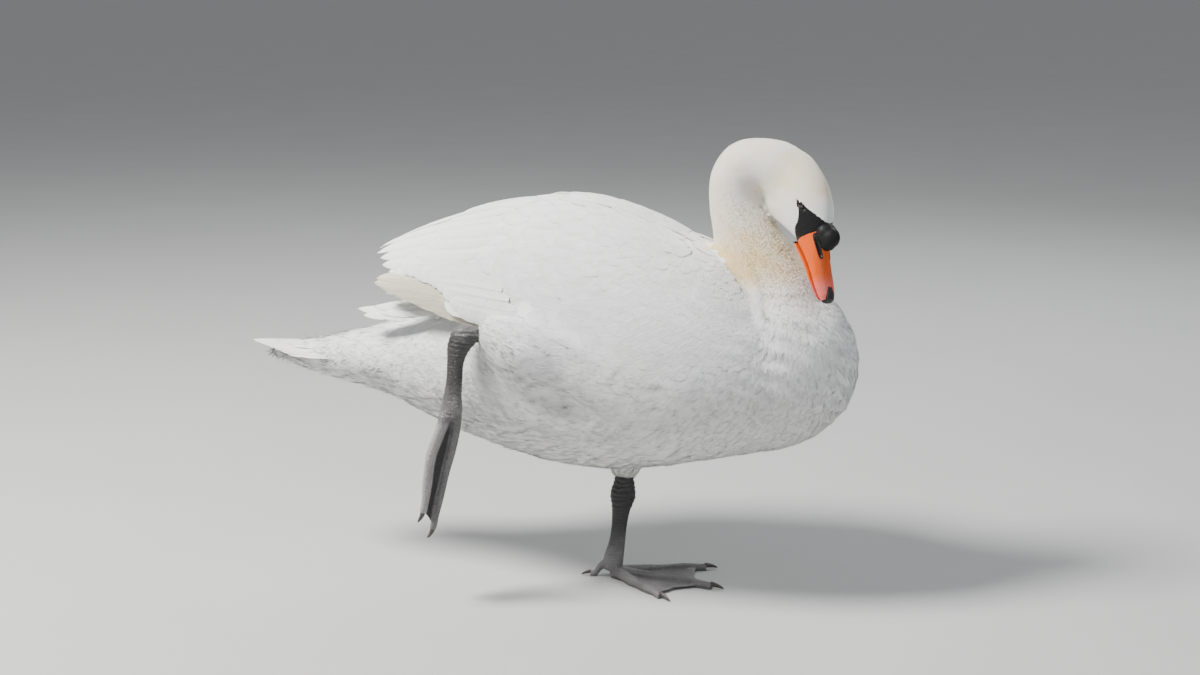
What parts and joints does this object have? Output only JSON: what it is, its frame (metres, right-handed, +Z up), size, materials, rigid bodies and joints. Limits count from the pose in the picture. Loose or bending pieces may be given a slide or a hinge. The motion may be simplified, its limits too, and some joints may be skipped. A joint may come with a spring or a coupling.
{
  "type": "mute swan model",
  "caption": "Life-size still model of an adult mute swan standing on one leg, the other leg drawn back, neck bent and bill pointing down.",
  "frame": {"origin": "middle of the bird's bounding box, on the floor it stands on", "axes": "+X forward, the way the breast faces; +Y the bird's left; +Z up"},
  "size_m": [0.7964, 0.3193, 0.577],
  "materials": {
    "flesh": "skin and flesh under white feathers",
    "plumage": "white feathers",
    "quills": "white flight feathers",
    "leg_skin": "scaled, dull",
    "claw_horn": "horn",
    "bill_orange": "satin horn",
    "bill_black": "satin horn",
    "eye": "wet gloss"
  },
  "bodies": {
    "root": {"head": "flesh", "neck_upper": "flesh", "neck_lower": "flesh", "trunk": "flesh", "thigh_left": "flesh", "thigh_right": "flesh", "wing_left": "plumage", "wing_right": "plumage", "tail_coverts": "plumage", "tertials_left": "quills", "tertials_right": "quills", "primaries_left": "quills", "primaries_right": "quills", "tail_feathers": "quills", "shank_left": "leg_skin", "shank_right": "leg_skin", "foot_left": "leg_skin", "foot_right": "leg_skin", "claw_left_inner": "claw_horn", "claw_left_middle": "claw_horn", "claw_left_outer": "claw_horn", "claw_left_hind": "claw_horn", "claw_right_inner": "claw_horn", "claw_right_middle": "claw_horn", "claw_right_outer": "claw_horn", "claw_right_hind": "claw_horn", "bill_upper": "bill_orange", "bill_lower": "bill_orange", "bill_nail": "bill_black", "bill_knob": "bill_black", "eye_left": "eye", "eye_right": "eye"}
  },
  "joints": []
}
